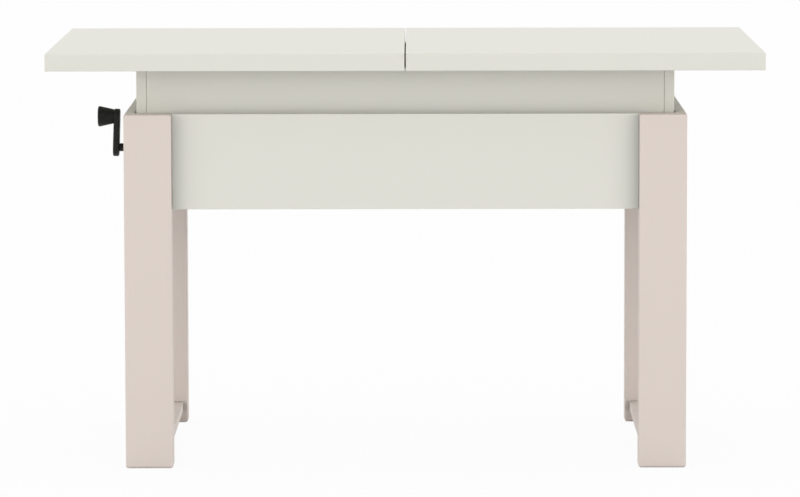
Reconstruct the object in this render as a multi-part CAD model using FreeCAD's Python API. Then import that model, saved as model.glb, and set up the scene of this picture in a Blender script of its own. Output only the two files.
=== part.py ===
"""Coffee table that cranks up to dining height and extends with a stored leaf.

Millimetres. X runs along the table, the front faces -Y, Z is up, and the origin is on the floor
under the middle of the top. The table stands as photographed: raised part of the way and closed.
"""
import FreeCAD
import Part
import math
import os

Vector = FreeCAD.Vector

# Tabletop
top_length = 1144.0
top_depth = 650.0
top_thick = 28.0
top_gap = 2.0               # joint line between the two halves
top_edge_round = 1.2
top_end_overhang = 122.0    # top beyond the legs at each end
top_side_overhang = 38.0    # top beyond the legs at front and back

# Legs, aprons and stretchers
leg_width = 76.0
leg_depth = 45.0
leg_top = 570.0
leg_edge_round = 1.5
foot_chamfer = 3.0
glide_height = 0.8
glide_radius = 12.0
glide_stem_radius = 4.0
glide_stem_length = 18.0
panel_thick = 16.0
panel_edge_round = 0.8
apron_height = 153.0
apron_recess = 22.0         # front and back aprons behind the leg faces
stretcher_width = 60.0
stretcher_height = 21.0     # underside above the floor

# Cam and bolt joints of the panels
cam_radius = 7.5
cam_face_wall = 3.5         # board left under the cam
cam_setback = 34.0          # cam centre from the panel's end
cam_edge_inset = 38.0       # cam centre from the panel's long edge
cam_bolt_radius = 3.5
cam_bolt_wall = 5.0         # neighbour's board left past the bolt

# Fits
fit_gap = 0.1               # round a piece pushed into its hole
run_gap = 0.08              # round a turning shaft

# Lift travel and inner box
raise_at_rest = 73.0        # top's underside above the legs, as photographed
lowered_gap = 3.0           # the same when fully lowered
box_overlap = 15.0          # box still inside the frame when fully raised
box_clearance = 2.5         # box to frame, each side
box_seam = 0.3              # hairline between the box's panels and its ends
box_floor_gap = 3.0         # box to cross bars when fully lowered
box_top_gap = 0.5           # box to the sliding top
notch_width = 24.0          # slot in the left box end for the crank shaft
notch_headroom = 10.0       # slot's top above the shaft axis when fully lowered

# Cross bars under the box that carry the lift
bar_thick = 4.0
bar_width = 40.0
bar_inset = 1.0             # above the apron's lower edge
bar_tab = 36.0              # upturned end that is screwed to the apron
bar_bend = 3.0              # inside bend radius

# Scissor lift
arm_length = 520.0          # between end pivots
arm_width = 24.0
arm_thick = 4.0
arm_spacer = 4.0            # between the crossed arms
arm_rail_gap = 2.0          # outer arm to the mouth of the base rail
roller_radius = 11.0
roller_width = 12.0
roller_gap = 0.3            # roller to the flange that it bears on
roller_play = 2.7           # roller to the other flange
rail_depth = 18.0
rail_wall = 2.5
rail_bend = 1.5             # inside bend radius
rail_clearance = 3.5        # base rail to the box panel that slides past it
track_gap = 2.0             # lift track below the leaf supports
track_end = 6.0             # lift track beyond the outermost roller and pivot block
shaft_radius = 6.0          # scissor cross shafts
stub_radius = 5.0           # stub pins welded to the arms
shoulder_radius = 8.0       # shoulders on the stub pins
shaft_end_gap = 0.7
block_half_length = 18.0    # pivot block in the lift track
pivot_play_up = 0.4         # upper pivot slot
pivot_play_down = 1.9

# Lead screw, its stands and its nut
crank_drop = 75.5           # screw axis below the leg tops
screw_radius = 8.0
journal_radius = 5.0
stand_radius = 16.0         # round top of a stand
stand_foot_half = 30.0
stand_thick = 12.0
stand_foot_length = 28.0
stand_foot_thick = 6.0
bush_wall = 3.0
bush_proud = 1.0
collar_radius = 10.0
collar_width = 5.5
collar_gap = 0.3
stop_collar_radius = 13.0
stop_gap = 0.5              # stop collar to the nut at the end of its travel
stand_gap = 8.0             # screw stand to the stop collar
coupling_radius = 10.0
coupling_length = 38.0
nut_radius = 11.5
nut_flange_radius = 15.0
nut_flange_thick = 5.0
nut_block_half_x = 17.0
nut_block_half_y = 15.0
nut_block_round = 4.0
nut_block_wall = 9.0        # below the slide shaft's slot
nut_slot_play = 5.5         # slide shaft's play on the side away from the pull
nut_slot_gap = 0.3          # slide shaft's clearance on the pulling side

# Crank
crank_radius = 51.3
crank_standoff = 28.3       # arm's middle plane from the apron's face, at the hub
crank_lean = 1.65           # knob end nearer to the apron than the hub end
crank_thick = 10.2
crank_hub_radius = 14.8
crank_tip_radius = 12.6
crank_edge_round = 2.5
boss_radius = 6.65
boss_gap = 0.4              # boss to the flange of its bush
crank_bush_radius = 9.0
crank_flange_radius = 15.0
crank_flange_thick = 3.0
crank_face_wall = 3.0       # hub wall under the screw head
crank_recess_depth = 3.2    # sinks the screw head into the hub
crank_recess_gap = 0.6
crank_screw_radius = 2.5
crank_screw_length = 14.0
crank_screw_head_radius = 5.0
crank_screw_head_height = 2.8
knob_length = 25.6
knob_outer_radius = 17.7
knob_inner_radius = 12.0
knob_edge_round = 3.0
knob_gap = 0.3
knob_seat_radius = 11.5
knob_seat_height = 0.5      # pad on the leaning arm that is square to the knob
knob_end_wall = 8.0         # solid end of the knob beyond its axle
axle_radius = 4.0

# Slides of the top and the stored leaf
leaf_side_gap = 1.5         # stored leaf's pins to the slide rail
leaf_play = 1.0             # extra opening of each half to drop the leaf in
leaf_drop = 6.0             # stored leaf below the top's underside
leaf_support_width = 40.0
leaf_support_inset = 25.0   # support from the leaf's end
slide_rail_width = 20.0
slide_rail_height = 22.0
slide_rail_wall = 2.0
slide_rail_gap = 1.5        # rail to the runner's flange
slide_mouth = 8.0
runner_gap = 0.4
runner_flange_thick = 2.5
runner_start = 14.0         # runner's inner end from the table's middle
runner_stop_gap = 2.0       # runner to the box end when fully open
pin_radius = 4.0
pin_bury = 16.0
pin_reach = 12.0
pin_spacing = 100.0
pin_hole_gap = 0.6

# Places worked out from the sizes above
SIDES = {"front": -1, "back": 1}
ENDS = {"left": -1, "right": 1}
frame_y = top_depth / 2 - top_side_overhang
leg_inner_y = frame_y - leg_depth
apron_low = leg_top - apron_height
apron_outer_y = frame_y - apron_recess
apron_inner_y = apron_outer_y - panel_thick
cam_depth = panel_thick - cam_face_wall
cam_bolt_bite = panel_thick - cam_bolt_wall
bar_low = apron_low + bar_inset
bar_top = bar_low + bar_thick
box_y = min(leg_inner_y, apron_inner_y - bar_thick) - box_clearance
box_inner_y = box_y - panel_thick
under_z = leg_top + raise_at_rest
lift_down = raise_at_rest - lowered_gap
box_top = under_z - box_top_gap
box_low = bar_top + box_floor_gap + lift_down
lift_up = leg_top - box_overlap - box_low
axis_z = leg_top - crank_drop

slide_rail_top = under_z - runner_flange_thick - slide_rail_gap
slide_rail_inner_y = box_inner_y - slide_rail_width
slide_rail_mid_y = box_inner_y - slide_rail_width / 2
leaf_width = 2 * (slide_rail_inner_y - leaf_side_gap - pin_reach)
leaf_x = top_depth / 2
leaf_top = under_z - leaf_drop
leaf_low = leaf_top - top_thick
slide_travel = leaf_width / 2 + leaf_play
pin_places = (-pin_spacing, 0.0, pin_spacing)

rail_height = 2 * rail_wall + 2 * roller_radius + roller_gap + roller_play
rail_outer_y = box_inner_y - rail_clearance
rail_mouth_y = rail_outer_y - rail_depth
low_pivot_z = bar_top + rail_wall + roller_gap + roller_radius
track_top = leaf_low - panel_thick - track_gap
track_mouth_y = box_inner_y - rail_depth
high_pivot_z = track_top - rail_wall - roller_gap - roller_radius
arm_rise = high_pivot_z - low_pivot_z
arm_span = math.sqrt(arm_length**2 - arm_rise**2)
widest_span = math.sqrt(arm_length**2 - (arm_rise - lift_down)**2)
narrowest_span = math.sqrt(arm_length**2 - (arm_rise + lift_up)**2)
pivot_x = -widest_span / 2
slide_x = pivot_x + arm_span
middle_x = (pivot_x + slide_x) / 2
middle_z = (low_pivot_z + high_pivot_z) / 2
arm_b_outer_y = rail_mouth_y - arm_rail_gap
arm_b_inner_y = arm_b_outer_y - arm_thick
arm_a_outer_y = arm_b_inner_y - arm_spacer
arm_a_inner_y = arm_a_outer_y - arm_thick

bush_radius = journal_radius + run_gap + bush_wall
bush_half = stand_thick / 2 + bush_proud
high_stop_x = pivot_x + narrowest_span - nut_block_half_x - stop_gap
low_stop_x = pivot_x + widest_span + nut_slot_play + nut_block_half_x + nut_flange_thick + stop_gap
stand_x = low_stop_x + collar_width + stand_gap + bush_half
rail_x = stand_x + bar_width / 2
collar_x = stand_x - bush_half - collar_gap
thread_x = collar_x - collar_width
coupling_x = -(stand_x + bush_half + 2 * collar_gap + collar_width + coupling_length / 2)

held_x = max(leaf_x, coupling_length / 2 - coupling_x)
frame_x = max(
    top_length / 2 - top_end_overhang,
    held_x + 2 * (box_clearance + panel_thick),
    rail_x + box_clearance + leg_width,
)
leg_inner_x = frame_x - leg_width
end_apron_inner_x = frame_x - panel_thick
box_x = end_apron_inner_x - box_clearance
box_inner_x = box_x - panel_thick
hub_x = -(frame_x + crank_standoff)
tip_x = hub_x + crank_lean
tip_z = axis_z + crank_radius
screw_seat_x = hub_x - crank_thick / 2 + crank_recess_depth
knob_seat_x = tip_x - crank_thick / 2 - knob_seat_height
knob_face_x = knob_seat_x - knob_gap


def block(x_ends, y_ends, z_ends):
    """Box between two corners; each pair may come in either order."""
    low = Vector(min(x_ends), min(y_ends), min(z_ends))
    high = Vector(max(x_ends), max(y_ends), max(z_ends))
    size = high - low
    return Part.makeBox(size.x, size.y, size.z, low)


def board(x_ends, y_ends, z_ends, edge_round=panel_edge_round):
    """Panel with banded edges, which are slightly rounded."""
    plain = block(x_ends, y_ends, z_ends)
    return plain.makeFillet(edge_round, plain.Edges)


def rod(radius, start, end):
    """Round bar between two points."""
    along = end - start
    return Part.makeCylinder(radius, along.Length, start, along)


def rod_x(radius, x_ends, z=axis_z):
    """Round bar along X in the table's middle plane, on the screw axis unless z says otherwise."""
    return rod(radius, Vector(min(x_ends), 0, z), Vector(max(x_ends), 0, z))


def rod_y(radius, x, y_ends, z):
    """Round bar along Y."""
    return rod(radius, Vector(x, min(y_ends), z), Vector(x, max(y_ends), z))


def bar_along_x(outline, x_ends):
    """Bar of a constant section, given as (y, z) corners."""
    start = min(x_ends)
    corners = [Vector(start, y, z) for y, z in outline]
    section = Part.Face(Part.makePolygon(corners + corners[:1]))
    return section.extrude(Vector(max(x_ends) - start, 0, 0))


def tangent_link(centre_a, radius_a, centre_b, radius_b, normal):
    """Flat face of two circles joined by their outer tangents, square to normal."""
    along = centre_b - centre_a
    lean = math.acos((radius_a - radius_b) / along.Length)
    along.normalize()
    sideways = normal.cross(along)

    def rim(centre, radius, angle):
        return centre + along * (radius * math.cos(angle)) + sideways * (radius * math.sin(angle))

    a_left, a_far, a_right = [rim(centre_a, radius_a, angle) for angle in (lean, math.pi, -lean)]
    b_left, b_far, b_right = [rim(centre_b, radius_b, angle) for angle in (lean, 0.0, -lean)]
    edges = [
        Part.Arc(a_left, a_far, a_right).toShape(),
        Part.LineSegment(a_right, b_right).toShape(),
        Part.Arc(b_right, b_far, b_left).toShape(),
        Part.LineSegment(b_left, a_left).toShape(),
    ]
    return Part.Face(Part.Wire(edges))


def long_slot(radius, start, end, depth):
    """Cutter for a slot with round ends, from start to end, pushed through by depth."""
    normal = Vector(depth).normalize()
    return tangent_link(start, radius, end, radius, normal).extrude(depth)


def cam_joint(seat, inward, along):
    """Cam and bolt that pull a panel's end against its neighbour, with the holes for both.

    The cam lies in the panel's open face at seat, inward points into the panel, and along points
    at the neighbour.
    """
    middle = seat + inward * (panel_thick / 2)
    bolt_end = middle + along * (cam_setback + cam_bolt_bite)
    cam = rod(cam_radius, seat, seat + inward * cam_depth)
    bolt = rod(cam_bolt_radius, middle + along * (cam_radius + fit_gap), bolt_end)
    cam_hole = rod(cam_radius + fit_gap, seat, seat + inward * (cam_depth + fit_gap))
    bolt_hole = rod(cam_bolt_radius + fit_gap, middle, bolt_end + along * fit_gap)
    return cam, bolt, cam_hole.fuse(bolt_hole)


def panel_joints(half_length, face, low, top, lengthways):
    """Cam joints at the ends of a pair of facing panels, inside faces at +face and -face.

    lengthways panels run along X, and the others along Y.
    """
    joints = []
    for side in SIDES.values():
        for end in ENDS.values():
            for height in (low + cam_edge_inset, top - cam_edge_inset):
                run, across = end * (half_length - cam_setback), side * face
                if lengthways:
                    joint = cam_joint(Vector(run, across, height), Vector(0, side, 0), Vector(end, 0, 0))
                else:
                    joint = cam_joint(Vector(across, run, height), Vector(side, 0, 0), Vector(0, end, 0))
                joints.append(joint)
    return joints


def fittings(joints):
    """The cams and bolts of a list of joints, as one group of separate solids."""
    return Part.makeCompound([solid for cam, bolt, hole in joints for solid in (cam, bolt)])


def holes(joints):
    return [hole for cam, bolt, hole in joints]


def leg(end, side):
    """Post with its foot chamfered all round and its other edges eased."""
    x_ends, y_ends = (end * leg_inner_x, end * frame_x), (side * leg_inner_y, side * frame_y)
    post = block(x_ends, y_ends, (glide_height, leg_top))
    foot = [edge for edge in post.Edges if edge.BoundBox.ZMax < glide_height + foot_chamfer / 2]
    post = post.makeChamfer(foot_chamfer, foot)
    others = [edge for edge in post.Edges if edge.CenterOfMass.z > glide_height + 2 * foot_chamfer]
    return post.makeFillet(leg_edge_round, others)


def glide_centre(end, side):
    return Vector(end * (frame_x + leg_inner_x) / 2, side * (frame_y + leg_inner_y) / 2, 0)


def glide(centre):
    """Pressed-in foot glide, a disc on a stem."""
    disc = rod(glide_radius, centre, centre + Vector(0, 0, glide_height))
    stem = rod(glide_stem_radius, centre, centre + Vector(0, 0, glide_stem_length))
    return disc.fuse(stem).removeSplitter()


def outer_frame():
    """Legs, aprons, stretchers, their fittings and the glides."""
    apron_z = (apron_low, leg_top)
    long_joints = panel_joints(leg_inner_x, apron_inner_y, apron_low, leg_top, True)
    end_joints = panel_joints(leg_inner_y, end_apron_inner_x, apron_low, leg_top, False)
    parts = {"apron_cam_fittings": fittings(long_joints + end_joints)}
    for side_name, side in SIDES.items():
        long_apron = board((-leg_inner_x, leg_inner_x), (side * apron_inner_y, side * apron_outer_y), apron_z)
        parts["apron_" + side_name] = long_apron.cut(holes(long_joints))
        for end_name, end in ENDS.items():
            centre = glide_centre(end, side)
            stem_top = centre + Vector(0, 0, glide_stem_length + fit_gap)
            stem_hole = rod(glide_stem_radius + fit_gap, centre, stem_top)
            post = leg(end, side).cut(holes(long_joints + end_joints) + [stem_hole])
            parts["leg_" + side_name + "_" + end_name] = post
    for end_name, end in ENDS.items():
        end_apron = board((end * end_apron_inner_x, end * frame_x), (-leg_inner_y, leg_inner_y), apron_z)
        parts["apron_" + end_name] = end_apron.cut(holes(end_joints))
        middle = end * (frame_x + leg_inner_x) / 2
        parts["stretcher_" + end_name] = board(
            (middle - stretcher_width / 2, middle + stretcher_width / 2),
            (-leg_inner_y, leg_inner_y),
            (stretcher_height, stretcher_height + panel_thick),
        )
    bush_hole = rod_x(crank_bush_radius + fit_gap, (-frame_x, -end_apron_inner_x))
    parts["apron_left"] = parts["apron_left"].cut(bush_hole)
    centres = [glide_centre(end, side) for end in ENDS.values() for side in SIDES.values()]
    parts["foot_glides"] = Part.makeCompound([glide(centre) for centre in centres])
    return parts


def edges_at(shape, y, z):
    """Edges along X that pass through (y, z)."""
    def near(edge):
        box = edge.BoundBox
        return box.XLength > 0 and abs(box.Center.y - y) + abs(box.Center.z - z) < fit_gap

    return [edge for edge in shape.Edges if near(edge)]


def channel(outer_y, low, x_ends):
    """Bent steel channel with its web at outer_y and its mouth towards the table's middle."""
    inward = -math.copysign(1, outer_y)
    web = outer_y + inward * rail_wall
    mouth = outer_y + inward * rail_depth
    low_in, top_in, top = low + rail_wall, low + rail_height - rail_wall, low + rail_height
    outline = [(outer_y, low), (mouth, low), (mouth, low_in), (web, low_in),
               (web, top_in), (mouth, top_in), (mouth, top), (outer_y, top)]
    plain = bar_along_x(outline, x_ends)
    outside = edges_at(plain, outer_y, low) + edges_at(plain, outer_y, top)
    bent = plain.makeFillet(rail_bend + rail_wall, outside)
    return bent.makeFillet(rail_bend, edges_at(bent, web, low_in) + edges_at(bent, web, top_in))


def cross_bar(end):
    """Flat steel strap between the aprons, with both ends bent up against them."""
    reach, inner = apron_inner_y, apron_inner_y - bar_thick
    tab_top = bar_low + bar_tab
    outline = [(-reach, tab_top), (-reach, bar_low), (reach, bar_low), (reach, tab_top),
               (inner, tab_top), (inner, bar_top), (-inner, bar_top), (-inner, tab_top)]
    plain = bar_along_x(outline, (end * (rail_x - bar_width), end * rail_x))
    outside = edges_at(plain, -reach, bar_low) + edges_at(plain, reach, bar_low)
    bent = plain.makeFillet(bar_bend + bar_thick, outside)
    return bent.makeFillet(bar_bend, edges_at(bent, -inner, bar_top) + edges_at(bent, inner, bar_top))


def screw_stand(end):
    """Tapered stand with a round top that holds a screw bush."""
    x_ends = (end * stand_x - stand_thick / 2, end * stand_x + stand_thick / 2)
    foot_ends = (end * stand_x - stand_foot_length / 2, end * stand_x + stand_foot_length / 2)
    foot_y = (-stand_foot_half, stand_foot_half)
    foot_centre = Vector(x_ends[0], 0, bar_top + stand_foot_thick / 2)
    top_centre = Vector(x_ends[0], 0, axis_z)
    face = tangent_link(foot_centre, stand_foot_half, top_centre, stand_radius, Vector(1, 0, 0))
    upright = face.extrude(Vector(stand_thick, 0, 0))
    below = block(x_ends, foot_y, (bar_top - stand_foot_half, bar_top))
    foot = block(foot_ends, foot_y, (bar_top, bar_top + stand_foot_thick))
    bore = rod_x(bush_radius + fit_gap, x_ends)
    return upright.cut(below).fuse(foot).cut(bore).removeSplitter()


def crank_bush():
    """Flanged bush in the left end apron."""
    flange_ends = (-frame_x - crank_flange_thick, -frame_x)
    barrel_ends = (-frame_x, -end_apron_inner_x)
    body = rod_x(crank_flange_radius, flange_ends).fuse(rod_x(crank_bush_radius, barrel_ends))
    return body.cut(rod_x(journal_radius + run_gap, flange_ends + barrel_ends)).removeSplitter()


def lift_base():
    """Cross bars, base rails, screw stands and bushes, all fixed to the outer frame."""
    parts = {"crank_bush": crank_bush()}
    bushes = []
    for end_name, end in ENDS.items():
        parts["lift_cross_bar_" + end_name] = cross_bar(end)
        parts["screw_stand_" + end_name] = screw_stand(end)
        x_ends = (end * stand_x - bush_half, end * stand_x + bush_half)
        bushes.append(rod_x(bush_radius, x_ends).cut(rod_x(journal_radius + run_gap, x_ends)))
    parts["screw_bushes"] = Part.makeCompound(bushes)
    for side_name, side in SIDES.items():
        rail = channel(side * rail_outer_y, bar_top, (-rail_x, rail_x))
        hole = rod_y(shaft_radius + run_gap, pivot_x, (side * rail_mouth_y, side * rail_outer_y), low_pivot_z)
        parts["lift_base_rail_" + side_name] = rail.cut(hole)
    return parts


def flat_arm(low_x, high_x, y_ends):
    """Flat bar with round ends, from its lower pivot to its upper one."""
    start = min(y_ends)
    low, high = Vector(low_x, start, low_pivot_z), Vector(high_x, start, high_pivot_z)
    face = tangent_link(low, arm_width / 2, high, arm_width / 2, Vector(0, 1, 0))
    return face.extrude(Vector(0, arm_thick, 0))


def shoulder_pin(x, z, side, root_y, shoulder_y, tip_y):
    """Stub pin welded to an arm at root_y, with a shoulder as far as shoulder_y."""
    shoulder = rod_y(shoulder_radius, x, (side * root_y, side * shoulder_y), z)
    return shoulder.fuse(rod_y(stub_radius, x, (side * root_y, side * tip_y), z))


def roller(x, z, side, inner_y, bore):
    y_ends = (side * inner_y, side * (inner_y + roller_width))
    return rod_y(roller_radius, x, y_ends, z).cut(rod_y(bore, x, y_ends, z))


def arm_a(side, roller_y, pin_tip_y):
    """Inner arm: fixed to the pivot shaft below, with pins for the crossing arm and its roller."""
    y_ends = (side * arm_a_inner_y, side * arm_a_outer_y)
    shaft_hole = rod_y(shaft_radius + fit_gap, pivot_x, y_ends, low_pivot_z)
    centre_tip = arm_b_outer_y + arm_rail_gap / 2
    centre_pin = shoulder_pin(middle_x, middle_z, side, arm_a_outer_y, arm_b_inner_y - run_gap, centre_tip)
    roller_pin = shoulder_pin(slide_x, high_pivot_z, side, arm_a_outer_y, roller_y - roller_gap, pin_tip_y)
    return flat_arm(pivot_x, slide_x, y_ends).cut(shaft_hole).fuse([centre_pin, roller_pin]).removeSplitter()


def arm_b(side, pin_tip_y):
    """Outer arm: fixed to the slide shaft below, with a pin for the pivot block above."""
    y_ends = (side * arm_b_inner_y, side * arm_b_outer_y)
    shaft_hole = rod_y(shaft_radius + fit_gap, slide_x, y_ends, low_pivot_z)
    centre_hole = rod_y(stub_radius + run_gap, middle_x, y_ends, middle_z)
    pin = shoulder_pin(pivot_x, high_pivot_z, side, arm_b_outer_y, track_mouth_y - shaft_end_gap, pin_tip_y)
    return flat_arm(slide_x, pivot_x, y_ends).cut([shaft_hole, centre_hole]).fuse(pin).removeSplitter()


def scissor():
    """Crossed arms with their shafts and rollers, at the photographed height."""
    side_play = (rail_depth - rail_wall - roller_width) / 2
    pin_tip_y = box_inner_y - rail_wall - shaft_end_gap
    slide_half = rail_outer_y - rail_wall - shaft_end_gap
    parts = {
        "scissor_pivot_shaft": rod_y(shaft_radius, pivot_x, (-rail_outer_y, rail_outer_y), low_pivot_z),
        "scissor_slide_shaft": rod_y(shaft_radius, slide_x, (-slide_half, slide_half), low_pivot_z),
    }
    track_rollers, base_rollers = [], []
    for side_name, side in SIDES.items():
        track_y, base_y = track_mouth_y + side_play, rail_mouth_y + side_play
        parts["scissor_arm_a_" + side_name] = arm_a(side, track_y, pin_tip_y)
        parts["scissor_arm_b_" + side_name] = arm_b(side, pin_tip_y)
        track_rollers.append(roller(slide_x, high_pivot_z, side, track_y, stub_radius + run_gap))
        base_rollers.append(roller(slide_x, low_pivot_z, side, base_y, shaft_radius + run_gap))
    parts["track_rollers"] = Part.makeCompound(track_rollers)
    parts["base_rollers"] = Part.makeCompound(base_rollers)
    return parts


def nut_parts():
    """Nut block that pulls the slide shaft along, and the bronze nut in it."""
    low = low_pivot_z - shaft_radius - nut_block_wall
    x_ends = (slide_x - nut_block_half_x, slide_x + nut_block_half_x)
    flange_ends = (x_ends[1], x_ends[1] + nut_flange_thick)
    body = block(x_ends, (-nut_block_half_y, nut_block_half_y), (low, axis_z + nut_block_half_x))
    across = [edge for edge in body.Edges if edge.BoundBox.YLength > nut_block_half_y]
    body = body.makeFillet(nut_block_round, across)
    slot_end = Vector(slide_x + nut_slot_gap, -nut_block_half_y, low_pivot_z)
    slot_start = slot_end - Vector(nut_slot_play, 0, 0)
    slot = long_slot(shaft_radius + run_gap, slot_start, slot_end, Vector(0, 2 * nut_block_half_y, 0))
    nut = rod_x(nut_radius, x_ends).fuse(rod_x(nut_flange_radius, flange_ends))
    nut = nut.cut(rod_x(screw_radius + run_gap, x_ends + flange_ends)).removeSplitter()
    return {"nut_block": body.cut([slot, rod_x(nut_radius + fit_gap, x_ends)]), "lead_nut": nut}


def crank_knob():
    """Tapered knob that turns on its axle, wider at its outer end."""
    outer = knob_face_x - knob_length
    corners = [Vector(knob_face_x, 0, tip_z), Vector(knob_face_x, 0, tip_z + knob_inner_radius),
               Vector(outer, 0, tip_z + knob_outer_radius), Vector(outer, 0, tip_z)]
    half = Part.Face(Part.makePolygon(corners + corners[:1]))
    knob = half.revolve(Vector(0, 0, tip_z), Vector(1, 0, 0), 360)
    rim = [edge for edge in knob.Edges if abs(edge.BoundBox.XMax - outer) < knob_gap]
    knob = knob.makeFillet(knob_edge_round, rim)
    return knob.cut(rod_x(axle_radius + run_gap, (knob_face_x, outer + knob_end_wall), tip_z))


def crank_arm():
    """Arm that leans towards the table at its knob end, with a shaft boss and a pad for the knob."""
    hub, tip = Vector(hub_x, 0, axis_z), Vector(tip_x, 0, tip_z)
    normal = Vector(0, 1, 0).cross(tip - hub).normalize()
    face = tangent_link(hub, crank_hub_radius, tip, crank_tip_radius, normal)
    face.translate(normal * (-crank_thick / 2))
    arm = face.extrude(normal * crank_thick)
    arm = arm.makeFillet(crank_edge_round, arm.Edges)
    boss_end = -frame_x - crank_flange_thick - boss_gap
    outside = hub_x - crank_thick
    boss = rod_x(boss_radius, (hub_x, boss_end))
    pad = rod_x(knob_seat_radius, (tip_x, knob_seat_x), tip_z)
    return arm.fuse([boss, pad]).cut([
        rod_x(journal_radius + fit_gap, (screw_seat_x + crank_face_wall, boss_end)),
        rod_x(crank_screw_radius + fit_gap, (outside, boss_end)),
        rod_x(crank_screw_head_radius + crank_recess_gap, (outside, screw_seat_x)),
        rod_x(axle_radius + fit_gap, (outside, boss_end), tip_z),
    ]).removeSplitter()


def crank_screw():
    """Button-head screw, sunk in the hub, that holds the arm on its shaft."""
    head_top = screw_seat_x - crank_screw_head_height
    head = rod_x(crank_screw_head_radius, (head_top, screw_seat_x))
    dome = [edge for edge in head.Edges if edge.BoundBox.XMax < head_top + crank_screw_head_height / 2]
    head = head.makeFillet(crank_screw_head_height / 2, dome)
    return head.fuse(rod_x(crank_screw_radius, (screw_seat_x, screw_seat_x + crank_screw_length)))


def collar(radius, bore, start):
    """Ring pinned to the screw, from start towards +X."""
    x_ends = (start, start + collar_width)
    return rod_x(radius, x_ends).cut(rod_x(bore + fit_gap, x_ends))


def screw_parts():
    """Lead screw with its thrust collars round the left stand and the stops for its nut."""
    screw = rod_x(screw_radius, (-thread_x, thread_x))
    journal = rod_x(journal_radius, (coupling_x, stand_x + bush_half))
    left_of_stand = -(stand_x + bush_half + collar_gap + collar_width)
    collars = [
        collar(collar_radius, journal_radius, left_of_stand),
        collar(collar_radius, journal_radius, -collar_x),
        collar(stop_collar_radius, screw_radius, high_stop_x - collar_width),
        collar(stop_collar_radius, screw_radius, low_stop_x),
    ]
    return {"lead_screw": screw.fuse(journal).removeSplitter(), "screw_collars": Part.makeCompound(collars)}


def drive():
    """Crank, knob, shaft and coupling."""
    shaft_ends = (screw_seat_x + crank_face_wall + fit_gap, coupling_x - fit_gap)
    tapped = rod_x(crank_screw_radius + fit_gap, (shaft_ends[0], screw_seat_x + crank_screw_length + fit_gap))
    coupling_ends = (coupling_x - coupling_length / 2, coupling_x + coupling_length / 2)
    coupling = rod_x(coupling_radius, coupling_ends).cut(rod_x(journal_radius + fit_gap, coupling_ends))
    axle_end = knob_face_x - knob_length + knob_end_wall + knob_gap
    parts = {
        "crank_arm": crank_arm(),
        "crank_screw": crank_screw(),
        "crank_shaft": rod_x(journal_radius, shaft_ends).cut(tapped),
        "shaft_coupling": coupling,
        "knob_axle": rod_x(axle_radius, (tip_x + crank_thick / 2, axle_end), tip_z),
        "crank_knob": crank_knob(),
    }
    parts.update(screw_parts())
    return parts


def shaft_notch():
    """Cutter for the slot that lets the left box end pass over the crank shaft."""
    top = axis_z + lift_down + notch_headroom - notch_width / 2
    start, travel = Vector(-box_x, 0, box_low), Vector(panel_thick, 0, 0)
    return long_slot(notch_width / 2, start, Vector(-box_x, 0, top), travel)


def pivot_block(side):
    """Block in the lift track for the upper pivot, slotted because the pivot isn't quite still there."""
    low, top = track_top - rail_height + rail_wall, track_top - rail_wall
    y_ends = (side * track_mouth_y, side * (box_inner_y - rail_wall - rail_bend))
    body = block((pivot_x - block_half_length, pivot_x + block_half_length), y_ends, (low, top))
    slot_top = Vector(pivot_x, side * track_mouth_y, high_pivot_z + pivot_play_up)
    slot_low = slot_top - Vector(0, 0, pivot_play_up + pivot_play_down)
    return body.cut(long_slot(stub_radius + run_gap, slot_top, slot_low, Vector(0, side * rail_depth, 0)))


def slide_rail(side):
    """Lipped rail with its mouth upwards, on the inside of a long box panel."""
    outer, inner = box_inner_y, slide_rail_inner_y
    wall, top = slide_rail_wall, slide_rail_top
    low, under_lip = top - slide_rail_height, top - wall
    lip_out, lip_in = slide_rail_mid_y + slide_mouth / 2, slide_rail_mid_y - slide_mouth / 2
    outline = [(inner, low), (outer, low), (outer, top), (lip_out, top), (lip_out, under_lip),
               (outer - wall, under_lip), (outer - wall, low + wall), (inner + wall, low + wall),
               (inner + wall, under_lip), (lip_in, under_lip), (lip_in, top), (inner, top)]
    return bar_along_x([(side * y, z) for y, z in outline], (-box_inner_x, box_inner_x))


def runner(end, side):
    """T runner under a tabletop half, held down by the lips of its rail."""
    middle = slide_rail_mid_y
    head = slide_rail_width / 2 - slide_rail_wall - runner_gap
    neck = slide_mouth / 2 - runner_gap
    flange = slide_rail_width / 2 - runner_gap
    low = slide_rail_top - slide_rail_height + slide_rail_wall + runner_gap
    head_top = slide_rail_top - slide_rail_wall - runner_gap
    flange_low = under_z - runner_flange_thick
    half = [(head, low), (head, head_top), (neck, head_top),
            (neck, flange_low), (flange, flange_low), (flange, under_z)]
    outline = [(middle + y, z) for y, z in half] + [(middle - y, z) for y, z in reversed(half)]
    stop = box_inner_x - runner_stop_gap - slide_travel
    return bar_along_x([(side * y, z) for y, z in outline], (end * runner_start, end * stop))


def inner_box():
    """Rising box: panels, fittings, lift tracks, pivot blocks and slide rails."""
    joints = panel_joints(box_inner_x, box_inner_y, box_low, box_top, True)
    box_z = (box_low, box_top)
    panel_x = box_inner_x - box_seam
    track_ends = (pivot_x - block_half_length - track_end, -pivot_x + roller_radius + track_end)
    parts = {"box_cam_fittings": fittings(joints)}
    for side_name, side in SIDES.items():
        panel = board((-panel_x, panel_x), (side * box_inner_y, side * box_y), box_z)
        parts["box_panel_" + side_name] = panel.cut(holes(joints))
        parts["lift_track_" + side_name] = channel(side * box_inner_y, track_top - rail_height, track_ends)
        parts["slide_rail_" + side_name] = slide_rail(side)
    for end_name, end in ENDS.items():
        panel = board((end * box_inner_x, end * box_x), (-box_y, box_y), box_z)
        parts["box_end_" + end_name] = panel.cut(holes(joints))
    parts["box_end_left"] = parts["box_end_left"].cut(shaft_notch())
    parts["lift_pivot_blocks"] = Part.makeCompound([pivot_block(side) for side in SIDES.values()])
    return parts


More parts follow.
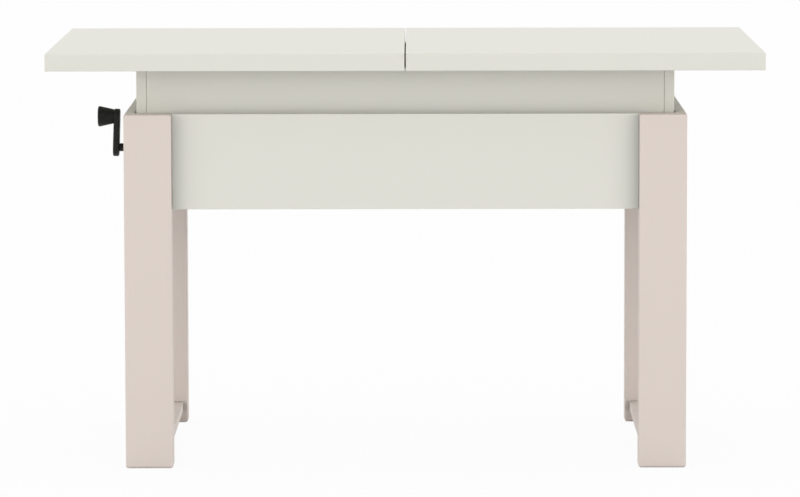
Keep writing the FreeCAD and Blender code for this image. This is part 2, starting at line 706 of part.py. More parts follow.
def pins(places, edge, outward):
    """Locating pins in a board's edge; places are points on that edge, outward points away from it."""
    bury, reach = outward * pin_bury, outward * pin_reach
    return Part.makeCompound([rod(pin_radius, edge + place - bury, edge + place + reach) for place in places])


def pin_holes(places, edge, inward, gap):
    depth = pin_bury + fit_gap
    return [rod(pin_radius + gap, edge + place, edge + place + inward * depth) for place in places]


def stored_leaf():
    """Extension leaf that lies lengthways in the box, on two supports."""
    core_z = (leaf_low + leaf_top) / 2
    half = leaf_width / 2
    places = [Vector(place, 0, 0) for place in pin_places]
    front, back = Vector(0, -half, core_z), Vector(0, half, core_z)
    forward = Vector(0, -1, 0)
    tight = pin_holes(places, front, -forward, fit_gap)
    loose = pin_holes(places, back, forward, pin_hole_gap)
    leaf = board((-leaf_x, leaf_x), (-half, half), (leaf_low, leaf_top), top_edge_round)
    parts = {"extension_leaf": leaf.cut(tight + loose), "leaf_pins": pins(places, front, forward)}
    for end_name, end in ENDS.items():
        outer = leaf_x - leaf_support_inset
        parts["leaf_support_" + end_name] = board(
            (end * outer, end * (outer - leaf_support_width)), (-box_inner_y, box_inner_y),
            (leaf_low - panel_thick, leaf_low),
        )
    return parts


def tabletop():
    """Two halves with their runners, and the pins that line them up."""
    parts = {}
    places = [Vector(0, place, 0) for place in pin_places]
    core_z = under_z + top_thick / 2
    outward = Vector(1, 0, 0)
    for end_name, end in ENDS.items():
        half = board((end * top_gap / 2, end * top_length / 2), (-top_depth / 2, top_depth / 2),
                     (under_z, under_z + top_thick), top_edge_round)
        gap = fit_gap if end < 0 else pin_hole_gap
        edge = Vector(end * top_gap / 2, 0, core_z)
        parts["top_half_" + end_name] = half.cut(pin_holes(places, edge, outward * end, gap))
        for side_name, side in SIDES.items():
            parts["runner_" + end_name + "_" + side_name] = runner(end, side)
    parts["top_pins"] = pins(places, Vector(-top_gap / 2, 0, core_z), outward)
    return parts


def build():
    """Every piece of the table, by name."""
    parts = {}
    for group in (outer_frame, lift_base, scissor, nut_parts, drive, inner_box, stored_leaf, tabletop):
        parts.update(group())
    return parts


def main():
    os.makedirs("parts", exist_ok=True)
    parts = build()
    for name, shape in parts.items():
        shape.exportStep("parts/" + name + ".step")
    print(len(parts), "pieces,", sum(len(shape.Solids) for shape in parts.values()), "solids")
    print("lift from", -lift_down, "to", lift_up, "mm, each half slides", slide_travel, "mm")


if __name__ == "__main__":
    main()
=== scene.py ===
# %% [markdown]
# # A coffee table that cranks up to dining height
# The table is already drawn in CAD, as boards, rails, arms and shafts of real size. This lesson dresses
# that model: it gives every board and metal piece a finish, adds the thread, screws, clips and cams that
# hold the lift together, and sets up the light and the camera. The CAD pieces stay where they are, and
# every new piece rides on the body that carries it.

# %% Load the CAD model
import bpy
import bmesh
import math
from mathutils import Matrix, Vector


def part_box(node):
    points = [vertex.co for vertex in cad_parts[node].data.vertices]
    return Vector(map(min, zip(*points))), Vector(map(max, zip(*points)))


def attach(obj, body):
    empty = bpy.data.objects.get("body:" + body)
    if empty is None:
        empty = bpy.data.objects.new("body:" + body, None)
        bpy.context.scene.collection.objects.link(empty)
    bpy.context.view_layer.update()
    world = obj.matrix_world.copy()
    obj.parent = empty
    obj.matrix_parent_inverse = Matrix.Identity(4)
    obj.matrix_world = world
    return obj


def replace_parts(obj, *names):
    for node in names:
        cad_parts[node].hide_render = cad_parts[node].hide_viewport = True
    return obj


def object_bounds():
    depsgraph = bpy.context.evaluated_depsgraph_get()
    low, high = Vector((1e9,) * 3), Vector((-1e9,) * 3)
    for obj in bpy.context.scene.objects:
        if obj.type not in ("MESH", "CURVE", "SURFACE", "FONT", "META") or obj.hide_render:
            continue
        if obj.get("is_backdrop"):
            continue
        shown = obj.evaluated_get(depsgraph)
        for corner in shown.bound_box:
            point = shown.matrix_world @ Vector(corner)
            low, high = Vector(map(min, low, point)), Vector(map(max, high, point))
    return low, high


MM = 0.001
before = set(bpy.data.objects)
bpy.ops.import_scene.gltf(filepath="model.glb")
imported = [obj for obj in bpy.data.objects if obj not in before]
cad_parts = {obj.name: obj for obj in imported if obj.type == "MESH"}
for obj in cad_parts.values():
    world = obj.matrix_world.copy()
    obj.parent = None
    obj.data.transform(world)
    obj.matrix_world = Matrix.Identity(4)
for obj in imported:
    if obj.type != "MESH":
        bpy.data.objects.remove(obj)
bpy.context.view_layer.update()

# %% [markdown]
# ## Helpers for shader nodes
# A material is a small graph of nodes. Adding a node, setting its inputs and wiring it takes several lines
# in Python each time, so a few short helpers keep the finishes below readable. An input is either set to a
# plain value or wired to another node's output, and `join` does whichever of the two it is given.

# %% Node helpers
def join(tree, value, socket):
    """Wires an output into an input, or sets the input to a plain value."""
    if isinstance(value, bpy.types.NodeSocket):
        tree.links.new(value, socket)
    else:
        socket.default_value = value


def add(tree, kind, **values):
    """New node, with the inputs that are named here wired or set."""
    node = tree.nodes.new(kind)
    for name, value in values.items():
        join(tree, value, node.inputs[name.replace("_", " ")])
    return node


def maths(tree, operation, *terms):
    """Output of a Math node that works on outputs and plain numbers."""
    node = tree.nodes.new("ShaderNodeMath")
    node.operation = operation
    for place, term in enumerate(terms):
        join(tree, term, node.inputs[place])
    return node.outputs["Value"]


def shaded(tree, colour, factor):
    """Output that holds a colour made darker or lighter by a factor."""
    node = tree.nodes.new("ShaderNodeVectorMath")
    node.operation = "SCALE"
    join(tree, colour, node.inputs["Vector"])
    join(tree, factor, node.inputs["Scale"])
    return node.outputs["Vector"]


print("node helpers ready")

# %% [markdown]
# ## A group for every kind of surface
# Several finishes share the same fine structure, so that structure is built once, as a node group. A group
# is a graph with named inputs and outputs of its own. Every skin in this lesson puts out a colour, a
# roughness and a height, because those are what changes over a real surface.

# %% Group maker
def new_skin(name, sockets):
    """Empty group with the given inputs. Gives the group, its inputs and the three outputs to fill."""
    group = bpy.data.node_groups.new(name, "ShaderNodeTree")
    for socket, value in sockets.items():
        kind = "NodeSocketColor" if hasattr(value, "__len__") else "NodeSocketFloat"
        group.interface.new_socket(socket, in_out="INPUT", socket_type=kind).default_value = value
    group.interface.new_socket("Color", in_out="OUTPUT", socket_type="NodeSocketColor")
    group.interface.new_socket("Roughness", in_out="OUTPUT", socket_type="NodeSocketFloat")
    group.interface.new_socket("Height", in_out="OUTPUT", socket_type="NodeSocketFloat")
    return group, group.nodes.new("NodeGroupInput").outputs, group.nodes.new("NodeGroupOutput").inputs


print("group maker ready")

# %% [markdown]
# ## A skin for pressed and moulded surfaces
# Melamine board, powder coat and moulded plastic all look alike from very close: a fine pearl of tiny
# bumps, and a colour that drifts by a percent or so over a hand's width. An image could hold this, but
# noise needs no picture, has no seams and stays sharp at any distance. Two noise textures make it, one
# coarse and one fine, and the inputs say how strong they are, so that one group serves a smooth tabletop
# and a coarse powder coat.

# %% Pearl skin
pearl_skin, given, made = new_skin(
    "Pearl skin",
    {"Base": (0.8, 0.8, 0.8, 1.0), "Drift": 0.02, "Pearl Size": 900.0, "Gloss": 0.45, "Gloss Drift": 0.06})
here = pearl_skin.nodes.new("ShaderNodeTexCoord").outputs["Object"]
clouds = add(pearl_skin, "ShaderNodeTexNoise", Vector=here, Scale=7.0, Detail=3.0, Roughness=0.55)
pearls = add(pearl_skin, "ShaderNodeTexNoise", Vector=here, Scale=given["Pearl Size"], Detail=2.0,
             Roughness=0.5)
cloudy = maths(pearl_skin, "SUBTRACT", clouds.outputs["Fac"], 0.5)
shade = maths(pearl_skin, "MULTIPLY_ADD", cloudy, given["Drift"], 1.0)
gloss = maths(pearl_skin, "MULTIPLY_ADD", cloudy, given["Gloss Drift"], given["Gloss"])
join(pearl_skin, shaded(pearl_skin, given["Base"], shade), made["Color"])
join(pearl_skin, gloss, made["Roughness"])
join(pearl_skin, pearls.outputs["Fac"], made["Height"])
print("group:", pearl_skin.name, "with", len(pearl_skin.nodes), "nodes")

# %% [markdown]
# ## A skin for worked metal
# Drawn bars, rolled channels and turned nuts carry fine lines along the direction in which they were
# worked. Noise makes round blobs, but multiplying its coordinates by a small number along the work and by a
# large one across it stretches the blobs into lines. A second, even noise adds the faint bloom of plating.

# %% Drawn metal
drawn_metal, given, made = new_skin(
    "Drawn metal",
    {"Base": (0.6, 0.6, 0.6, 1.0), "Along X": 4.0, "Along Y": 400.0, "Along Z": 400.0,
     "Gloss": 0.35, "Streak": 0.12})
here = drawn_metal.nodes.new("ShaderNodeTexCoord").outputs["Object"]
stretch = add(drawn_metal, "ShaderNodeCombineXYZ", X=given["Along X"], Y=given["Along Y"], Z=given["Along Z"])
stretched = drawn_metal.nodes.new("ShaderNodeVectorMath")
stretched.operation = "MULTIPLY"
join(drawn_metal, here, stretched.inputs[0])
join(drawn_metal, stretch.outputs["Vector"], stretched.inputs[1])
lines = add(drawn_metal, "ShaderNodeTexNoise", Vector=stretched.outputs["Vector"], Scale=1.0, Detail=4.0,
            Roughness=0.6)
blooms = add(drawn_metal, "ShaderNodeTexNoise", Vector=here, Scale=60.0, Detail=3.0, Roughness=0.6)
summed = maths(drawn_metal, "MULTIPLY_ADD", blooms.outputs["Fac"], 0.5, lines.outputs["Fac"])
streaks = maths(drawn_metal, "SUBTRACT", summed, 0.75)
shade = maths(drawn_metal, "MULTIPLY_ADD", streaks, given["Streak"], 1.0)
gloss = maths(drawn_metal, "MULTIPLY_ADD", streaks, given["Streak"], given["Gloss"])
join(drawn_metal, shaded(drawn_metal, given["Base"], shade), made["Color"])
join(drawn_metal, gloss, made["Roughness"])
join(drawn_metal, lines.outputs["Fac"], made["Height"])
print("group:", drawn_metal.name, "with", len(drawn_metal.nodes), "nodes")

# %% [markdown]
# ## Colours
# Colours are written as they look under plain white light: an off-white board, a pinkish cashmere board,
# black plastic. A screen squeezes the bright tones together, but a shader works with the plain amount of
# light, so a screen colour is converted first.

# %% Screen colours
def linear(red, green, blue):
    """Screen colour in 0 to 255, as the linear colour that a shader takes."""
    parts = [part / 255 for part in (red, green, blue)]
    parts = [((part + 0.055) / 1.055) ** 2.4 if part > 0.04045 else part / 12.92 for part in parts]
    return *parts, 1.0


print("off-white board in linear light:", [round(part, 3) for part in linear(231, 230, 221)])

# %% [markdown]
# ## Dark corners
# Pale boards throw light at each other, and when every bounce is followed, the narrow corners between them
# fill with light until they almost vanish. The photograph keeps those corners dark. Light Path knows what
# kind of ray asks for a colour and how long that ray is, so an upright face can give back less of its light
# to a surface a few centimetres away, and all of it to one further off. Level faces give back all of theirs,
# because the photograph keeps the box bright above the apron's edge and under the top. The camera's own rays
# aren't changed, so a board still shows its colour as it is written.

# %% Corner shade
SHADE_FULL = 14.0 * MM
SHADE_GONE = 70.0 * MM


def corner_shade(tree):
    """Output that is 1, but falls to 0 for light from an upright face to a surface very near it."""
    rays = tree.nodes.new("ShaderNodeLightPath").outputs
    far = add(tree, "ShaderNodeMapRange", Value=rays["Ray Length"], From_Min=SHADE_FULL, From_Max=SHADE_GONE)
    near = maths(tree, "SUBTRACT", 1.0, far.outputs["Result"])
    normal = tree.nodes.new("ShaderNodeNewGeometry").outputs["Normal"]
    level = maths(tree, "ABSOLUTE", add(tree, "ShaderNodeSeparateXYZ", Vector=normal).outputs["Z"])
    shade = maths(tree, "MULTIPLY", near, maths(tree, "SUBTRACT", 1.0, level))
    return maths(tree, "SUBTRACT", 1.0, maths(tree, "MULTIPLY", shade, rays["Is Diffuse Ray"]))


print("corners are darkest within", SHADE_FULL, "m")

# %% [markdown]
# ## Finishes
# Each finish places one of the skins in a material of its own and feeds a Principled shader. Numbers that
# are the same all over, such as how metallic a piece is, are set on the shader itself.

# %% Finish maker
def finish(name, group, values, bump, metallic=0.0, specular=0.5):
    """Material with one of the skins. The bump is a strength and a depth in metres."""
    material = bpy.data.materials.new(name)
    material.use_nodes = True
    tree = material.node_tree
    shader = tree.nodes["Principled BSDF"]
    shader.inputs["Metallic"].default_value = metallic
    shader.inputs["Specular IOR Level"].default_value = specular
    skin = tree.nodes.new("ShaderNodeGroup")
    skin.node_tree = group
    for socket, value in values.items():
        skin.inputs[socket].default_value = value
    strength, depth = bump
    grain = add(tree, "ShaderNodeBump", Strength=strength, Distance=depth, Height=skin.outputs["Height"])
    colour = shaded(tree, skin.outputs["Color"], corner_shade(tree))
    join(tree, colour, shader.inputs["Base Color"])
    join(tree, skin.outputs["Roughness"], shader.inputs["Roughness"])
    join(tree, grain.outputs["Normal"], shader.inputs["Normal"])
    return material


print("finish maker ready")

# %% [markdown]
# ## Boards, plastics and powder coat
# The boards are chipboard with a printed melamine face, satin rather than shiny, so their highlights are
# weak. The crank is moulded in black plastic. The straps and stands of the lift are powder coated, which
# leaves a coarser skin. Rollers, bushes and pins are nylon.

# %% Pressed and moulded finishes
finishes = {
    "white_laminate": finish(
        "white_laminate_board", pearl_skin,
        {"Base": linear(231, 230, 221), "Drift": 0.012, "Pearl Size": 700.0, "Gloss": 0.5},
        bump=(0.05, 0.2 * MM), specular=0.2),
    "cashmere_laminate": finish(
        "cashmere_laminate_board", pearl_skin,
        {"Base": linear(228, 216, 208), "Drift": 0.012, "Pearl Size": 700.0, "Gloss": 0.5},
        bump=(0.05, 0.2 * MM), specular=0.2),
    "black_plastic": finish(
        "black_moulded_plastic", pearl_skin,
        {"Base": linear(27, 27, 27), "Drift": 0.2, "Pearl Size": 2500.0, "Gloss": 0.42},
        bump=(0.12, 0.2 * MM), specular=0.25),
    "black_steel": finish(
        "black_powder_coat", pearl_skin,
        {"Base": linear(32, 32, 33), "Drift": 0.2, "Pearl Size": 1100.0, "Gloss": 0.5},
        bump=(0.35, 0.3 * MM), specular=0.4),
    "grey_nylon": finish(
        "grey_nylon_moulding", pearl_skin,
        {"Base": linear(172, 172, 168), "Drift": 0.06, "Pearl Size": 1600.0, "Gloss": 0.48},
        bump=(0.08, 0.2 * MM)),
    "white_nylon": finish(
        "white_nylon_moulding", pearl_skin,
        {"Base": linear(230, 230, 226), "Drift": 0.04, "Pearl Size": 1600.0, "Gloss": 0.45},
        bump=(0.08, 0.2 * MM)),
}
print("pressed and moulded finishes:", sorted(finishes))

# %% [markdown]
# ## Metals
# Bars and channels keep the lines of rolling and drawing along their length. The bronze nut was turned, so
# its lines run round it. Cast zinc has no direction at all, and its three numbers are the same.

# %% Metal finishes
finishes["zinc_plated_steel"] = finish(
    "zinc_plated_steel_bar", drawn_metal,
    {"Base": linear(196, 199, 203), "Gloss": 0.34, "Streak": 0.2},
    bump=(0.06, 0.2 * MM), metallic=1.0)
finishes["aluminium_profile"] = finish(
    "aluminium_extrusion", drawn_metal,
    {"Base": linear(214, 215, 217), "Gloss": 0.3, "Streak": 0.16},
    bump=(0.05, 0.2 * MM), metallic=1.0)
finishes["bronze_nut"] = finish(
    "turned_bronze", drawn_metal,
    {"Base": linear(196, 148, 84), "Along X": 1500.0, "Along Y": 30.0, "Along Z": 30.0, "Gloss": 0.3,
     "Streak": 0.2},
    bump=(0.06, 0.2 * MM), metallic=1.0)
finishes["zinc_fitting"] = finish(
    "cast_zinc_fitting", drawn_metal,
    {"Base": linear(186, 188, 190), "Along X": 500.0, "Along Y": 500.0, "Along Z": 500.0, "Gloss": 0.42,
     "Streak": 0.25},
    bump=(0.1, 0.2 * MM), metallic=1.0)
print("all finishes:", sorted(finishes))

# %% [markdown]
# ## Dress the CAD pieces
# Every CAD node came in with a plain material that is named after its finish. Swapping the material in
# the node's slot keeps the mesh as it is.

# %% Swap the plain materials
dressed = {}
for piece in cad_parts.values():
    slot = piece.material_slots[0].material.name
    piece.material_slots[0].material = finishes[slot]
    dressed[slot] = dressed.get(slot, 0) + 1
print("dressed nodes:", dressed)

# %% [markdown]
# ## Turned parts
# Screws, rivets and shafts come off a lathe, so they are made here as a lathe makes them: half an outline is
# spun round an axis. A cylinder primitive would need its edges rounded afterwards, and the outline has that
# already. A finished shape is kept as a mesh, called a pattern here, so that it can be used many times.

# %% Turning
LATHE_STEPS = 24


def turned(outline):
    """Shape of (radius, height) points spun round Z."""
    shape = bmesh.new()
    points = [shape.verts.new((radius, 0.0, height)) for radius, height in outline]
    edges = [shape.edges.new(pair) for pair in zip(points, points[1:])]
    bmesh.ops.spin(shape, geom=points + edges, cent=(0, 0, 0), axis=(0, 0, 1), angle=2 * math.pi,
                   steps=LATHE_STEPS, use_merge=True, use_duplicate=False)
    bmesh.ops.remove_doubles(shape, verts=shape.verts, dist=MM / 1000)
    bmesh.ops.recalc_face_normals(shape, faces=shape.faces)
    return shape


def pattern(name, shape):
    """Mesh of a finished shape."""
    mesh = bpy.data.meshes.new(name)
    shape.to_mesh(mesh)
    shape.free()
    return mesh


rivet_head = pattern("rivet_head", turned(
    [(0, 2.2 * MM), (2.6 * MM, 2.0 * MM), (4.4 * MM, 1.2 * MM), (5.0 * MM, 0.3 * MM), (5.0 * MM, 0), (0, 0)]))
print("rivet head:", len(rivet_head.polygons), "faces")

# %% [markdown]
# ## Screw heads
# A socket can't be turned. On the real screw it is pressed into the head, and the mesh does the same: the
# head is turned with an open top, the rim of the opening is extruded inwards to the outline of a cross or a
# hexagon, then down, and the bottom is closed. Cutting the socket out with a boolean would also work, but
# it leaves long thin faces that shade badly.

# %% Pressing a socket
HALF_SIXTH = math.radians(30)
HALF_QUARTER = math.radians(45)
ARM_END = math.radians(16)
ARM_SIDE = math.tan(math.radians(15))


def socket_reach(kind, size, angle):
    """How far a hexagon or cross socket reaches from its middle in one direction."""
    if kind == "hexagon":
        off_flat = angle % (2 * HALF_SIXTH) - HALF_SIXTH
        return size * math.cos(HALF_SIXTH) / math.cos(off_flat)
    off_arm = abs((angle + HALF_QUARTER) % (2 * HALF_QUARTER) - HALF_QUARTER)
    if off_arm < ARM_END:
        return size / math.cos(off_arm)
    return size * ARM_SIDE / math.sin(off_arm)


def open_edges(shape):
    return [edge for edge in shape.edges if edge.is_boundary]


def screw_head(name, radius, height, kind, size, depth):
    """Head that stands on the plane z = 0, with a socket in its top."""
    shape = turned(
        [(radius, 0), (radius, 0.45 * height), (0.93 * radius, 0.8 * height), (0.75 * radius, height)])
    rim = [edge for edge in open_edges(shape) if edge.verts[0].co.z > height / 2]
    for drop in (0.0, depth):
        grown = bmesh.ops.extrude_edge_only(shape, edges=rim)["geom"]
        rim = [part for part in grown if isinstance(part, bmesh.types.BMEdge) and part.is_boundary]
        for vert in {vert for edge in rim for vert in edge.verts}:
            angle = math.atan2(vert.co.y, vert.co.x)
            reach = socket_reach(kind, size, angle)
            vert.co = (reach * math.cos(angle), reach * math.sin(angle), height - drop)
    bmesh.ops.holes_fill(shape, edges=open_edges(shape), sides=0)
    bmesh.ops.recalc_face_normals(shape, faces=shape.faces)
    return pattern(name, shape)


pan_head = screw_head(
    "pan_head", radius=4.2 * MM, height=2.4 * MM, kind="cross", size=2.3 * MM, depth=1.2 * MM)
small_head = screw_head(
    "small_head", radius=3.4 * MM, height=1.9 * MM, kind="cross", size=1.9 * MM, depth=1.0 * MM)
wafer_head = screw_head(
    "wafer_head", radius=5.0 * MM, height=1.2 * MM, kind="cross", size=2.3 * MM, depth=0.8 * MM)
print("screw heads:", [mesh.name for mesh in (pan_head, small_head, wafer_head)])

# %% [markdown]
# ## Stamping patterns into pieces
# Loose objects for every screw would crowd the file, so all the screws of one kind on one body become one
# piece. `stamp` copies a pattern into it, turned to face the right way. `add_piece` then makes the object,
# smooths the round faces, keeps the sharp edges sharp and lets the piece ride on its body.

# %% Stamping
SHARP_FROM = math.radians(35)


def stamp(target, mesh, place, facing):
    """Copies a pattern into a shape, with its foot at place and its top towards facing."""
    old = set(target.verts)
    target.from_mesh(mesh)
    pose = Vector(facing).to_track_quat("Z", "Y").to_matrix().to_4x4()
    fresh = [vert for vert in target.verts if vert not in old]
    bmesh.ops.transform(target, matrix=Matrix.Translation(place) @ pose, verts=fresh)


def add_piece(name, shape, body, slot):
    """Object of a finished shape, with its finish, that rides on a body."""
    mesh = pattern(name, shape)
    mesh.shade_smooth()
    mesh.set_sharp_from_angle(angle=SHARP_FROM)
    mesh.materials.append(finishes[slot])
    piece = bpy.data.objects.new(name, mesh)
    bpy.context.scene.collection.objects.link(piece)
    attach(piece, body)
    print(name, "on", body, "with", len(mesh.polygons), "faces")
    return piece


print("edges sharper than", round(math.degrees(SHARP_FROM)), "degrees stay sharp")

# %% [markdown]
# ## Lead screw
# The crank turns a threaded rod, and its nut pulls the scissor arms together. The thread is trapezoidal,
# the usual choice for a lifting screw, and right-handed, so that winding the crank one way lifts the top. A
# screw is a spin that also moves along its axis: one pitch of the outline goes round, a little further
# along at each step, and its end meets its start one turn later. A Screw modifier could do it, but the cut
# ends are easier on a mesh.

# %% One turn of the thread
PITCH = 4.0 * MM
THREAD_DEPTH = 2.25 * MM
FLANK = 0.6 * MM
CREST = 1.45 * MM
TURN_STEPS = 20
screw_low, screw_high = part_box("lead_screw")
collars_low, collars_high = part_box("screw_collars")
stand_low, stand_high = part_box("screw_stand_right")
axis_z = (screw_low.z + screw_high.z) / 2
crest_radius = (screw_high.z - screw_low.z) / 2
root_radius = crest_radius - THREAD_DEPTH
root_end = PITCH - CREST - 2 * FLANK
stand_x = (stand_low.x + stand_high.x) / 2
thread_end = 2 * stand_x + collars_low.x

screw = bmesh.new()
outline = [(0, root_radius), (root_end, root_radius), (root_end + FLANK, crest_radius),
           (PITCH - FLANK, crest_radius), (PITCH, root_radius)]
start = -thread_end - PITCH
points = [screw.verts.new((start + along, 0, axis_z + radius)) for along, radius in outline]
edges = [screw.edges.new(pair) for pair in zip(points, points[1:])]
bmesh.ops.spin(screw, geom=points + edges, cent=(0, 0, axis_z), axis=(1, 0, 0), angle=2 * math.pi,
               dvec=(PITCH / TURN_STEPS, 0, 0), steps=TURN_STEPS, use_duplicate=False)
print("one turn:", len(screw.faces), "faces, pitch", PITCH, "m")

# %% [markdown]
# ### The whole thread
# One turn is copied and moved along, then both turns, then all four, until the rod is long enough. That is
# much quicker than spinning hundreds of steps. The ends are then cut square and closed.

# %% Copy the turn and cut the ends
turns = 1
while turns * PITCH < 2 * (thread_end + PITCH):
    copy = bmesh.ops.duplicate(screw, geom=screw.verts[:] + screw.edges[:] + screw.faces[:])["geom"]
    copied = [part for part in copy if isinstance(part, bmesh.types.BMVert)]
    bmesh.ops.translate(screw, vec=(turns * PITCH, 0, 0), verts=copied)
    turns *= 2
bmesh.ops.remove_doubles(screw, verts=screw.verts, dist=PITCH / 1000)
for end in (-1, 1):
    everything = screw.verts[:] + screw.edges[:] + screw.faces[:]
    cut = bmesh.ops.bisect_plane(screw, geom=everything, plane_co=(end * thread_end, 0, axis_z),
                                 plane_no=(end, 0, 0), clear_outer=True)["geom_cut"]
    rim = [part for part in cut if isinstance(part, bmesh.types.BMEdge)]
    bmesh.ops.holes_fill(screw, edges=rim, sides=0)
bmesh.ops.recalc_face_normals(screw, faces=screw.faces)
print("thread:", round(2 * thread_end / PITCH), "turns, ends at", round(thread_end, 4), "m")

# %% [markdown]
# ### Journals
# Beyond the thread the rod is turned down to smooth journals that run in the bushes of the stands. Each is a
# turned pattern with an eased end, and it starts a little inside the thread so that no gap shows.

# %% Journals
EASED = 0.8 * MM
shaft_low, shaft_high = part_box("crank_shaft")
journal_radius = (shaft_high.z - shaft_low.z) / 2
for outer, inner in ((screw_low.x, -thread_end), (screw_high.x, thread_end)):
    length = abs(outer - inner) + PITCH
    journal = pattern("journal", turned(
        [(0, 0), (journal_radius, 0), (journal_radius, length - EASED), (journal_radius - EASED, length),
         (0, length)]))
    facing = math.copysign(1, outer)
    stamp(screw, journal, (outer - facing * length, 0, axis_z), (facing, 0, 0))
lead_screw = add_piece("lead_screw_thread", screw, "crank", "zinc_plated_steel")
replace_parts(lead_screw, "lead_screw")

# %% [markdown]
# ## Screws and rivets of the lift's base
# Two steel straps hang between the long aprons and carry everything below the box. Screws hold their
# turned-up ends to the aprons, rivets hold the roller rails on them, and small screws hold the feet of the
# screw stands. Each place is read from the CAD boxes, so a screw always lies on its plate.

# %% Straps, rails and stands
STRAP_SCREW_APART = 20.0 * MM
STRAP_SCREW_DROP = 14.0 * MM
RAIL_WALL = 2.5 * MM
STAND_FOOT = 6.0 * MM
STAND_SCREW_X = 10.0 * MM
STAND_SCREW_Y = 20.0 * MM
strap_low, strap_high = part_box("lift_cross_bar_right")
rail_low, rail_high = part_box("lift_base_rail_back")
strap_x = (strap_low.x + strap_high.x) / 2
strap_thick = rail_low.z - strap_low.z
rail_y = (rail_low.y + rail_high.y) / 2

strap_screws, rail_rivets, stand_screws = bmesh.new(), bmesh.new(), bmesh.new()
for end in (-1, 1):
    for side in (-1, 1):
        for step in (-1, 1):
            x = end * strap_x + step * STRAP_SCREW_APART / 2
            place = (x, side * (strap_high.y - strap_thick), strap_high.z - STRAP_SCREW_DROP)
            stamp(strap_screws, pan_head, place, (0, -side, 0))
            x = end * stand_x + step * STAND_SCREW_X
            stamp(stand_screws, small_head, (x, side * STAND_SCREW_Y, stand_low.z + STAND_FOOT), (0, 0, 1))
        stamp(rail_rivets, rivet_head, (end * strap_x, side * rail_y, strap_low.z), (0, 0, -1))
        stamp(rail_rivets, rivet_head, (end * strap_x, side * rail_y, rail_low.z + RAIL_WALL), (0, 0, 1))
add_piece("strap_screws", strap_screws, "frame", "zinc_plated_steel")
add_piece("rail_rivets", rail_rivets, "frame", "zinc_plated_steel")
add_piece("stand_screws", stand_screws, "frame", "zinc_plated_steel")

# %% [markdown]
# ## Screws of the upper tracks
# The upper tracks are screwed to the long panels of the box from inside. Their heads are flat wafers,
# because the arms pass close by.

# %% Track screws
TRACK_SCREW_PLACES = (-150.0 * MM, 0.0, 150.0 * MM)
track_low, track_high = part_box("lift_track_back")
track_screws = bmesh.new()
for side in (-1, 1):
    for x in TRACK_SCREW_PLACES:
        place = (x, side * (track_high.y - RAIL_WALL), (track_low.z + track_high.z) / 2)
        stamp(track_screws, wafer_head, place, (0, -side, 0))
add_piece("track_screws", track_screws, "lift_carriage", "zinc_plated_steel")

# %% [markdown]
# ## Brackets under the leaf
# The spare leaf lies on two boards inside the box, and four folded brackets hold these boards up. A bracket
# is a strip of steel with one fold: an L-shaped outline, extruded along the fold, with the bend rounded by
# a bevel. Two strips pushed together would show a hard corner that folded steel doesn't have.

# %% Bracket pattern
BRACKET_WIDE = 14.0 * MM
BRACKET_LEG = 17.0 * MM
BRACKET_THICK = 1.5 * MM
shape = bmesh.new()
corners = [(0, 0), (0, BRACKET_LEG), (-BRACKET_THICK, BRACKET_LEG), (-BRACKET_THICK, BRACKET_THICK),
           (-BRACKET_LEG, BRACKET_THICK), (-BRACKET_LEG, 0)]
face = shape.faces.new([shape.verts.new((-BRACKET_WIDE / 2, y, z)) for y, z in corners])
grown = bmesh.ops.extrude_face_region(shape, geom=[face], use_keep_orig=True)["geom"]
moved = [part for part in grown if isinstance(part, bmesh.types.BMVert)]
bmesh.ops.translate(shape, vec=(BRACKET_WIDE, 0, 0), verts=moved)
bmesh.ops.recalc_face_normals(shape, faces=shape.faces)
near = {vert for vert in shape.verts if max(-vert.co.y, vert.co.z) < 2 * BRACKET_THICK}
fold = [edge for edge in shape.edges if near.issuperset(edge.verts) and edge.calc_length() > BRACKET_LEG / 2]
bmesh.ops.bevel(shape, geom=fold, offset=0.9 * BRACKET_THICK, offset_type="OFFSET", affect="EDGES",
                segments=4, profile=0.5, material=-1)
bracket = pattern("bracket", shape)
print("bracket:", len(bracket.polygons), "faces,", len(fold), "edges rounded")

# %% [markdown]
# ### Brackets in place
# Each bracket sits in the corner between a support and the box's long panel, and two small screws hold it,
# one in each board.

# %% Brackets and their screws
BRACKET_INSET = 2.0 * MM
BRACKET_SCREW = 0.62 * BRACKET_LEG
support_low, support_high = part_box("leaf_support_right")
leaf_brackets, bracket_screws = bmesh.new(), bmesh.new()
for end in (-1, 1):
    for side in (-1, 1):
        x = end * (support_high.x - BRACKET_INSET - BRACKET_WIDE / 2)
        corner = Vector((x, side * track_high.y, support_low.z))
        stamp(leaf_brackets, bracket, corner, (0, -side, 0))
        below = corner + Vector((0, -side * BRACKET_SCREW, -BRACKET_THICK))
        stamp(bracket_screws, small_head, below, (0, 0, -1))
        inside = corner + Vector((0, -side * BRACKET_THICK, -BRACKET_SCREW))
        stamp(bracket_screws, small_head, inside, (0, -side, 0))
add_piece("leaf_brackets", leaf_brackets, "lift_carriage", "zinc_plated_steel")
add_piece("bracket_screws", bracket_screws, "lift_carriage", "zinc_plated_steel")

# %% [markdown]
# ## Spring clips on the pivots
# Spring clips snap into grooves beside the arms and keep the shafts from wandering. A clip is a flat ring
# with a gap, so its section is spun most of the way round and the two ends are closed.

# %% Clip pattern
CLIP_THICK = 0.8 * MM
CLIP_WALL = 2.6 * MM
CLIP_TURN = math.radians(300)
STUB_RADIUS = 5.0 * MM


